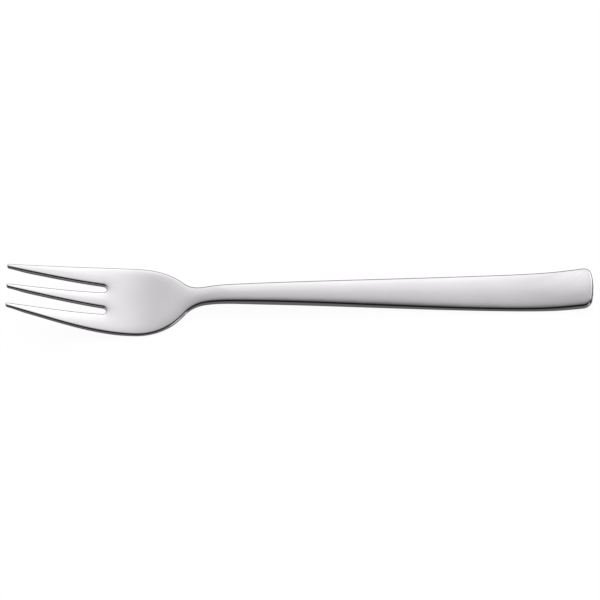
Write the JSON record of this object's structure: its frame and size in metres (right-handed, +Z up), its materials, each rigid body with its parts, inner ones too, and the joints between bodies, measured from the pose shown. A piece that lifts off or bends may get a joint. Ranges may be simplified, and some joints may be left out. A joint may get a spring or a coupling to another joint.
{
  "type": "pastry fork",
  "caption": "Small three-tine pastry fork of polished stainless steel, with a shallow dished head, a slim neck and a crowned handle that widens to a rounded square end.",
  "frame": {"origin": "on the table under the middle of the fork's length and width, where the fork lies with its hollow side up", "axes": "+X along the fork from the tine tips to the handle's end, +Y across it, +Z up from the table"},
  "size_m": [0.155, 0.0204, 0.0123],
  "materials": {
    "polished_steel": "mirror-polished stainless steel, bare"
  },
  "bodies": {
    "root": {"fork": "polished_steel"}
  },
  "joints": []
}
